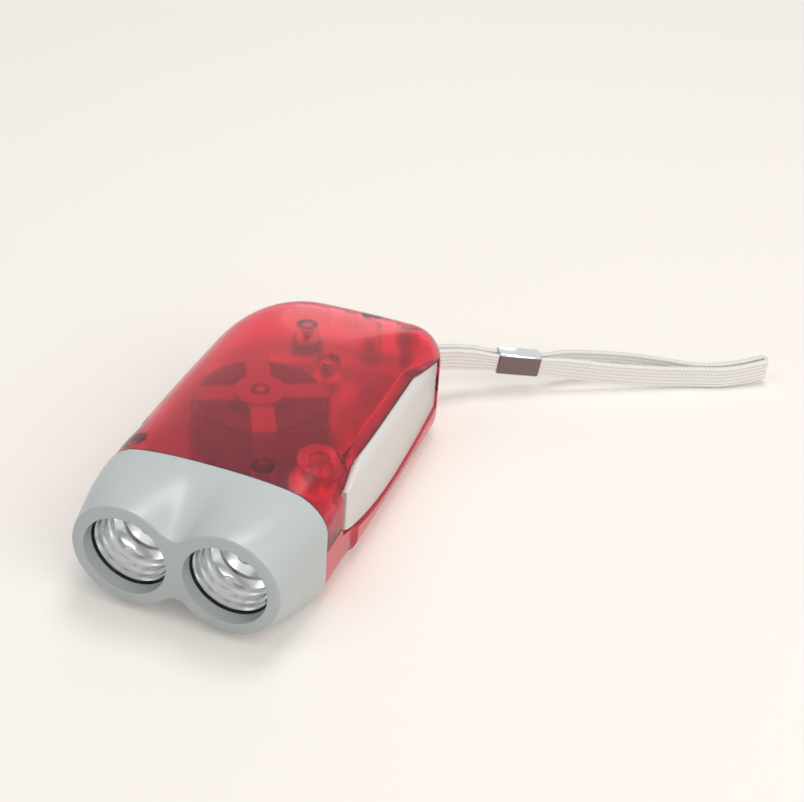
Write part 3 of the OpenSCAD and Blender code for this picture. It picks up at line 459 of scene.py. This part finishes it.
def makeCrimp(want, strapWant):
    centre, ahead, across, upward = crimpFrame(strapWant)
    length, height, depth = want["size"]
    corner, wall = want["corner"], want["wall"]

    def outline(inset):
        spots = []
        for quarter, (sx, sy) in enumerate(((1, 1), (-1, 1), (-1, -1), (1, -1))):
            for k in range(7):
                a = math.radians(90 * quarter + 15 * k)
                bend = max(corner - inset, want["leastBend"])
                sunk = max(inset - corner + want["leastBend"], 0)
                # the third value is 1 on the top and bottom faces and 0 on the broad sides, which get painted
                # shade
                spots.append((sx * (depth / 2 - corner - sunk) + bend * math.cos(a),
                              sy * (height / 2 - corner - sunk) + bend * math.sin(a), abs(math.sin(a))))
        return spots

    lip, shoulder = want["lip"]
    front = ((0.5, wall), (0.5, wall * 0.5), (0.5 - lip / length, lip), (0.5 - shoulder / length, 0))
    stations = front + tuple((-share, inset) for share, inset in front[::-1])
    mesh = bpy.data.meshes.new("crimpSleeve")
    build = bmesh.new()
    unshadedLayer = build.verts.layers.float.new("unshadedShare")
    rings = []
    for share, inset in stations:
        ring = []
        for d, h, unshadedShare in outline(inset):
            vert = build.verts.new((centre + ahead * share * length + across * d + upward * h) * mm)
            vert[unshadedLayer] = unshadedShare
            ring.append(vert)
        rings.append(ring)
    for i, ring in enumerate(rings):
        other = rings[(i + 1) % len(rings)]
        for k in range(len(ring)):
            n = (k + 1) % len(ring)
            build.faces.new((ring[k], ring[n], other[n], other[k])).smooth = True
    bmesh.ops.recalc_face_normals(build, faces=build.faces)
    build.to_mesh(mesh)
    build.free()
    crimp = linkPiece("crimpSleeve", mesh, makeCrimpMaterial(want))
    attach(crimp, "casing")
    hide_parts("strap_crimp")
    print("crimp made")
    return crimp


def makeStrap(want, crimp, crimpLength):
    line = smoothLine(strapPoints(want), want["step"])
    half, flat = want["width"] / 2, want["thick"] / 2
    perSide = want["lanes"] * want["perLane"]
    around = perSide * 2
    edgePower = want["edgePower"]
    grooveBase, grooveFall = want["grooveTone"]
    crimpCentre, crimpAhead = crimpFrame(want)[:2]
    mesh = bpy.data.meshes.new("wristStrapBraid")
    build = bmesh.new()
    grooveLayer = build.verts.layers.float.new("groove")
    uvLayer = build.loops.layers.uv.new("UVMap")
    rings, along = [], []
    travelled = 0.0
    for i, centre in enumerate(line):
        ahead = (line[min(i + 1, len(line) - 1)] - line[max(i - 1, 0)]).normalized()
        across = ahead.cross(Vector((0, 0, 1))).normalized()
        upward = across.cross(ahead)
        if i:
            travelled += (centre - line[i - 1]).length
        along.append(travelled)
        # the braid narrows into the crimp
        past = abs((centre - crimpCentre).dot(crimpAhead)) - crimpLength / 2
        ease = min(max(past / want["pinchReach"], 0.0), 1.0)
        squeeze = want["pinch"] + (1 - want["pinch"]) * ease * ease * (3 - 2 * ease)
        ring = []
        for k in range(around):
            side = 1 if k < perSide else -1
            share = (-1 + 2 * (k % perSide) / perSide) * side
            lane = (share * 0.5 + 0.5) * want["lanes"]
            inLane = lane % 1.0
            slant = 1 if int(lane) % 2 else -1
            ridge = math.sin(math.pi * inLane) ** want["ridgePower"]
            lean = slant * inLane * want["slant"]
            stitch = 0.5 + 0.5 * math.cos(2 * math.pi * (travelled / want["stitch"] + lean))
            relief = ridge * (1 - want["stitchShare"] + want["stitchShare"] * stitch)
            body = 1 - want["reliefShare"] + want["reliefShare"] * relief
            deep = side * flat * (1 - abs(share) ** edgePower) ** (1 / edgePower) * body
            high = share * half * squeeze
            vert = build.verts.new((centre + across * deep + upward * high) * mm)
            # painted shade in the grooves between lanes and stitches, strongest where the relief is lowest
            vert[grooveLayer] = min(1.0, max(0.0, grooveBase - grooveFall * relief))
            ring.append(vert)
        rings.append(ring)
    for i in range(len(rings) - 1):
        for k in range(around):
            n = (k + 1) % around
            face = build.faces.new((rings[i][k], rings[i + 1][k], rings[i + 1][n], rings[i][n]))
            face.smooth = True
            marks = ((i, k), (i + 1, k), (i + 1, k + 1), (i, k + 1))
            for loop, (row, spot) in zip(face.loops, marks):
                loop[uvLayer].uv = (along[row] * mm, spot / around * 2 * want["width"] * mm)
    build.faces.new(rings[0])
    build.faces.new(rings[-1][::-1])
    bmesh.ops.recalc_face_normals(build, faces=build.faces)
    build.to_mesh(mesh)
    build.free()
    strap = linkPiece("wristStrapBraid", mesh, makeStrapMaterial(want))
    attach(strap, "casing")
    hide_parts("wrist_strap")
    print("strap made:", round(along[-1], 1), "mm,", len(mesh.polygons), "faces")


makeStrap(strapSet, makeCrimp(crimpSet, strapSet), crimpSet["size"][0])


# Turns of the coil
coilSet = {"radius": 12.42, "wire": 0.16, "rings": 22, "first": (-4, 3, 14.9), "step": (0, 0, 0.34),
           "corners": 64, "wireCorners": 6}


def makeCoilTree(want, material):
    tree = bpy.data.node_groups.new("coilTurns", "GeometryNodeTree")
    tree.interface.new_socket("Geometry", in_out="INPUT", socket_type="NodeSocketGeometry")
    keys = {}
    for label, kind in (("Ring Radius", "Float"), ("Wire Radius", "Float"), ("Rings", "Int"),
                        ("First Ring", "Vector"), ("Ring Step", "Vector")):
        socket = tree.interface.new_socket(label, in_out="INPUT", socket_type="NodeSocket" + kind)
        keys[label] = socket.identifier
    tree.interface.new_socket("Geometry", in_out="OUTPUT", socket_type="NodeSocketGeometry")
    start, end = tree.nodes.new("NodeGroupInput"), tree.nodes.new("NodeGroupOutput")
    places = tree.nodes.new("GeometryNodeMeshLine")
    circle = tree.nodes.new("GeometryNodeCurvePrimitiveCircle")
    circle.inputs["Resolution"].default_value = want["corners"]
    wire = tree.nodes.new("GeometryNodeCurvePrimitiveCircle")
    wire.inputs["Resolution"].default_value = want["wireCorners"]
    tube = tree.nodes.new("GeometryNodeCurveToMesh")
    copies = tree.nodes.new("GeometryNodeInstanceOnPoints")
    real = tree.nodes.new("GeometryNodeRealizeInstances")
    paint = tree.nodes.new("GeometryNodeSetMaterial")
    paint.inputs["Material"].default_value = material
    links = tree.links
    links.new(start.outputs["Rings"], places.inputs["Count"])
    links.new(start.outputs["First Ring"], places.inputs["Start Location"])
    links.new(start.outputs["Ring Step"], places.inputs["Offset"])
    links.new(start.outputs["Ring Radius"], circle.inputs["Radius"])
    links.new(start.outputs["Wire Radius"], wire.inputs["Radius"])
    links.new(circle.outputs["Curve"], tube.inputs["Curve"])
    links.new(wire.outputs["Curve"], tube.inputs["Profile Curve"])
    links.new(places.outputs["Mesh"], copies.inputs["Points"])
    links.new(tube.outputs["Mesh"], copies.inputs["Instance"])
    links.new(copies.outputs["Instances"], real.inputs["Geometry"])
    links.new(real.outputs["Geometry"], paint.inputs["Geometry"])
    links.new(paint.outputs["Geometry"], end.inputs["Geometry"])
    return tree, keys


def makeCoil(want):
    tree, keys = makeCoilTree(want, made["copperWire"])
    piece = linkPiece("coilTurns", bpy.data.meshes.new("coilTurnsSeed"))
    rows = piece.modifiers.new("ringRow", "NODES")
    rows.node_group = tree
    rows[keys["Ring Radius"]] = want["radius"] * mm
    rows[keys["Wire Radius"]] = want["wire"] * mm
    rows[keys["Rings"]] = want["rings"]
    rows[keys["First Ring"]] = [c * mm for c in want["first"]]
    rows[keys["Ring Step"]] = [c * mm for c in want["step"]]
    solved = piece.evaluated_get(bpy.context.evaluated_depsgraph_get())
    mesh = bpy.data.meshes.new_from_object(solved)
    piece.modifiers.remove(rows)
    piece.data = mesh
    mesh.polygons.foreach_set("use_smooth", [True] * len(mesh.polygons))
    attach(piece, "casing")
    print("coil turns made:", len(mesh.polygons), "faces")


makeCoil(coilSet)


# Painted shadow lines where the mouldings meet: dark tubes along the head seam, the parting line and the edge
# over the lever, where there is only shade in the gaps
seamSet = {
    "corners": 6, "weld": 0.000002, "snap": 0.0000001, "middle": (-8.0, 24.0), "midHeight": 14.0,
    "sideShare": 0.3, "margin": 0.5, "leastFacing": 0.25, "leastAway": 1.0,
    "whole": {"reach": (-1000, 1000), "rightOf": -1000},
    "lines": [
        {"name": "headSeam", "node": "head_bezel", "wire": 0.17,
         "cuts": [{"place": (0, -27.04, 0), "facing": (0, 1, 0)}]},
        {"name": "partingSeam", "node": "upper_shell", "wire": 0.25,
         "cuts": [{"place": (0, 0, 13.03), "facing": (0, 0, 1)}]},
        {"name": "leverSeam", "node": "upper_shell", "wire": 0.14,
         "cuts": [{"place": (0, 0, 24.43), "facing": (0, 0, 1), "reach": (-11, 23), "rightOf": 10},
                  {"place": (0, 23, 24.43), "facing": (0, 0.2169, 0.9762), "reach": (23, 36.4),
                   "rightOf": 10},
                  {"place": (0, -11, 24.43), "facing": (0, -0.3219, 0.9468), "reach": (-17.4, -11),
                   "rightOf": 10}]},
    ],
}


def outerEdges(line, want):
    spots, edges = {}, []
    low, high = want["middle"]
    for own in line["cuts"]:
        cut = {**want["whole"], **own}
        build = bmesh.new()
        build.from_mesh(nodes[line["node"]].data)
        bmesh.ops.remove_doubles(build, verts=build.verts, dist=want["weld"])
        found = bmesh.ops.bisect_plane(build, geom=build.verts[:] + build.edges[:] + build.faces[:],
                                       dist=want["snap"], plane_co=Vector(cut["place"]) * mm,
                                       plane_no=cut["facing"])
        near, far = cut["reach"]
        for edge in found["geom_cut"]:
            if not isinstance(edge, bmesh.types.BMEdge) or not edge.link_faces:
                continue
            centre = (edge.verts[0].co + edge.verts[1].co) / mm / 2
            outward = Vector((centre.x, centre.y - min(max(centre.y, low), high), 0))
            if cut["facing"][1] == 1:  # the head seam runs round the body's length
                outward = Vector((centre.x * want["sideShare"], 0, centre.z - want["midHeight"]))
            looks = max(face.normal.dot(outward.normalized()) for face in edge.link_faces)
            within = all(near - want["margin"] < v.co.y / mm < far + want["margin"] for v in edge.verts)
            shown = looks >= want["leastFacing"] and outward.length >= want["leastAway"]
            if not shown or not within or centre.x < cut["rightOf"]:
                continue
            ends = [tuple(round(c, 8) for c in v.co) for v in edge.verts]
            edges.append([spots.setdefault(end, len(spots)) for end in ends])
        build.free()
    return list(spots), edges


def makeSeamTree(want, material):
    tree = bpy.data.node_groups.new("seamShadowTube", "GeometryNodeTree")
    tree.interface.new_socket("Geometry", in_out="INPUT", socket_type="NodeSocketGeometry")
    wire = tree.interface.new_socket("Shadow Line Radius", in_out="INPUT", socket_type="NodeSocketFloat")
    wireKey = wire.identifier
    tree.interface.new_socket("Geometry", in_out="OUTPUT", socket_type="NodeSocketGeometry")
    start, end = tree.nodes.new("NodeGroupInput"), tree.nodes.new("NodeGroupOutput")
    path = tree.nodes.new("GeometryNodeMeshToCurve")
    rim = tree.nodes.new("GeometryNodeCurvePrimitiveCircle")
    rim.inputs["Resolution"].default_value = want["corners"]
    tube = tree.nodes.new("GeometryNodeCurveToMesh")
    tube.inputs["Fill Caps"].default_value = True
    real = tree.nodes.new("GeometryNodeRealizeInstances")
    paint = tree.nodes.new("GeometryNodeSetMaterial")
    paint.inputs["Material"].default_value = material
    tree.links.new(start.outputs["Geometry"], path.inputs["Mesh"])
    tree.links.new(path.outputs["Curve"], tube.inputs["Curve"])
    tree.links.new(start.outputs["Shadow Line Radius"], rim.inputs["Radius"])
    tree.links.new(rim.outputs["Curve"], tube.inputs["Profile Curve"])
    tree.links.new(tube.outputs["Mesh"], real.inputs["Geometry"])
    tree.links.new(real.outputs["Geometry"], paint.inputs["Geometry"])
    tree.links.new(paint.outputs["Geometry"], end.inputs["Geometry"])
    return tree, wireKey


def makeSeams(want):
    tree, wireKey = makeSeamTree(want, made["seamShadowPaint"])
    for line in want["lines"]:
        spots, edges = outerEdges(line, want)
        path = bpy.data.meshes.new(line["name"] + "Path")
        path.from_pydata(spots, edges, [])
        piece = linkPiece(line["name"], path)
        shadowTube = piece.modifiers.new("seamShadowTube", "NODES")
        shadowTube.node_group = tree
        shadowTube[wireKey] = line["wire"] * mm
        mesh = bpy.data.meshes.new_from_object(piece.evaluated_get(bpy.context.evaluated_depsgraph_get()))
        piece.modifiers.remove(shadowTube)
        piece.data = mesh
        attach(piece, "casing")
        print(line["name"], "made:", len(edges), "edges,", len(mesh.polygons), "faces")


makeSeams(seamSet)


# Lamp cores: cup, light chip and two lead posts inside each clear lamp
coreSet = {"lampX": 10.65, "lampZ": 13.8, "back": -27.8, "front": -30.4,
           "cup": (0.6, 1.6), "cupCorners": 24, "chip": 0.75, "chipCorners": (20, 10),
           "post": 0.35, "postCorners": 4, "postShift": 0.6985}


def makeCores(want):
    mesh = bpy.data.meshes.new("lampCores")
    build = bmesh.new()
    facing = Matrix.Rotation(math.radians(90), 4, "X")
    depth = want["back"] - want["front"]
    neck, mouth = (radius * mm for radius in want["cup"])
    chipAround, chipUp = want["chipCorners"]

    def put(part, x, y):
        place = Matrix.Translation(Vector((x, y, want["lampZ"])) * mm)
        bmesh.ops.transform(build, matrix=place @ facing, verts=part["verts"])
        return {face for vert in part["verts"] for face in vert.link_faces}

    for x in (-want["lampX"], want["lampX"]):
        cup = bmesh.ops.create_cone(build, segments=want["cupCorners"], cap_ends=True, radius1=neck,
                                    radius2=mouth, depth=depth * mm * 0.5)
        put(cup, x, want["front"] + depth * 0.25)
        chip = bmesh.ops.create_uvsphere(build, u_segments=chipAround, v_segments=chipUp,
                                         radius=want["chip"] * mm)
        for face in put(chip, x, want["front"]):
            face.material_index = 1
            face.smooth = True
        for shift in (-want["postShift"], want["postShift"]):
            post = bmesh.ops.create_cone(build, segments=want["postCorners"], cap_ends=True,
                                         radius1=want["post"] * mm, radius2=want["post"] * mm,
                                         depth=depth * mm)
            put(post, x + shift, want["back"] - depth * 0.5)
    bmesh.ops.recalc_face_normals(build, faces=build.faces)
    build.to_mesh(mesh)
    build.free()
    cores = linkPiece("lampCores", mesh, made["drawnSteel"])
    mesh.materials.append(made["phosphor"])
    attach(cores, "casing")
    print("lamp cores made")


makeCores(coreSet)


# Pale floor, soft lamps and a pale surround
stageSet = {"floorHalf": 3.0, "floorDrop": 0.05, "floorColour": (0.82, 0.79, 0.755), "floorShade": 0.985,
            "driftScale": 3.0, "floorSockets": {"Roughness": 0.7, "Specular IOR Level": 0.2},
            "glow": (1.0, 0.965, 0.93), "glowShare": 0.15,
            "surround": (1.0, 0.985, 0.965), "surroundLight": 0.31,
            "lamps": [{"name": "keyLamp", "place": (-0.42, -0.38, 0.78), "aim": (0, 0.02, 0), "size": 0.5,
                       "power": 1.1, "colour": (0.90, 0.98, 1.0)},
                      {"name": "fillLamp", "place": (0.6, -0.3, 0.6), "aim": (0, 0.02, 0), "size": 0.9,
                       "power": 4.2, "colour": (1.0, 0.94, 0.88)},
                      {"name": "topLamp", "place": (0.04, 0.24, 0.94), "aim": (0.02, 0.03, 0), "size": 0.45,
                       "power": 3.1, "colour": (1.0, 0.99, 0.97)},
                      {"name": "backLamp", "place": (-0.28, 0.88, 0.36), "aim": (0.02, 0.03, 0), "size": 0.35,
                       "power": 0.35, "colour": (1.0, 0.99, 0.97)}]}


def plainRays(tree):
    rays = addNode(tree, "ShaderNodeLightPath")
    seen = addNode(tree, "ShaderNodeMath", operation="MAXIMUM")
    tree.links.new(rays.outputs["Is Camera Ray"], seen.inputs[0])
    tree.links.new(rays.outputs["Is Glossy Ray"], seen.inputs[1])
    both = addNode(tree, "ShaderNodeMath", operation="MAXIMUM")
    tree.links.new(seen.outputs["Value"], both.inputs[0])
    tree.links.new(rays.outputs["Is Transmission Ray"], both.inputs[1])
    return both.outputs["Value"]


def makeStage(want):
    mesh = bpy.data.meshes.new("paleFloor")
    build = bmesh.new()
    bmesh.ops.create_grid(build, x_segments=4, y_segments=4, size=want["floorHalf"])
    bmesh.ops.translate(build, verts=build.verts, vec=(0, 0, -want["floorDrop"] * mm))
    build.to_mesh(mesh)
    build.free()
    material, tree, shader = newMaterial("paleFloor")
    drift = noiseFrom(tree, objectCoords(tree), want["driftScale"], 2.0)
    paintDrift(tree, shader, drift, want["floorColour"], want["floorShade"])
    for socket, value in want["floorSockets"].items():
        shader.inputs[socket].default_value = value
    lift = addNode(tree, "ShaderNodeMath", operation="MULTIPLY")
    lift.inputs[1].default_value = want["glowShare"]
    tree.links.new(plainRays(tree), lift.inputs[0])
    shader.inputs["Emission Color"].default_value = (*want["glow"], 1)
    tree.links.new(lift.outputs["Value"], shader.inputs["Emission Strength"])
    floor = linkPiece("paleFloor", mesh, material)
    for lamp in want["lamps"]:
        light = bpy.data.lights.new(lamp["name"], "AREA")
        light.shape = "DISK"
        light.size = lamp["size"]
        light.energy = lamp["power"]
        light.color = lamp["colour"]
        spot = bpy.data.objects.new(lamp["name"], light)
        spot.location = lamp["place"]
        aim = Vector(lamp["aim"]) - Vector(lamp["place"])
        spot.rotation_euler = aim.to_track_quat("-Z", "Y").to_euler()
        scene.collection.objects.link(spot)
    world = bpy.data.worlds.new("paleSurround")
    world.use_nodes = True
    back = world.node_tree.nodes["Background"]
    back.inputs["Color"].default_value = (*want["surround"], 1)
    tree = world.node_tree
    pick = addNode(tree, "ShaderNodeMath", operation="MAXIMUM")
    pick.inputs[1].default_value = want["surroundLight"]
    tree.links.new(plainRays(tree), pick.inputs[0])
    tree.links.new(pick.outputs["Value"], back.inputs["Strength"])
    scene.world = world


makeStage(stageSet)
print("stage set")
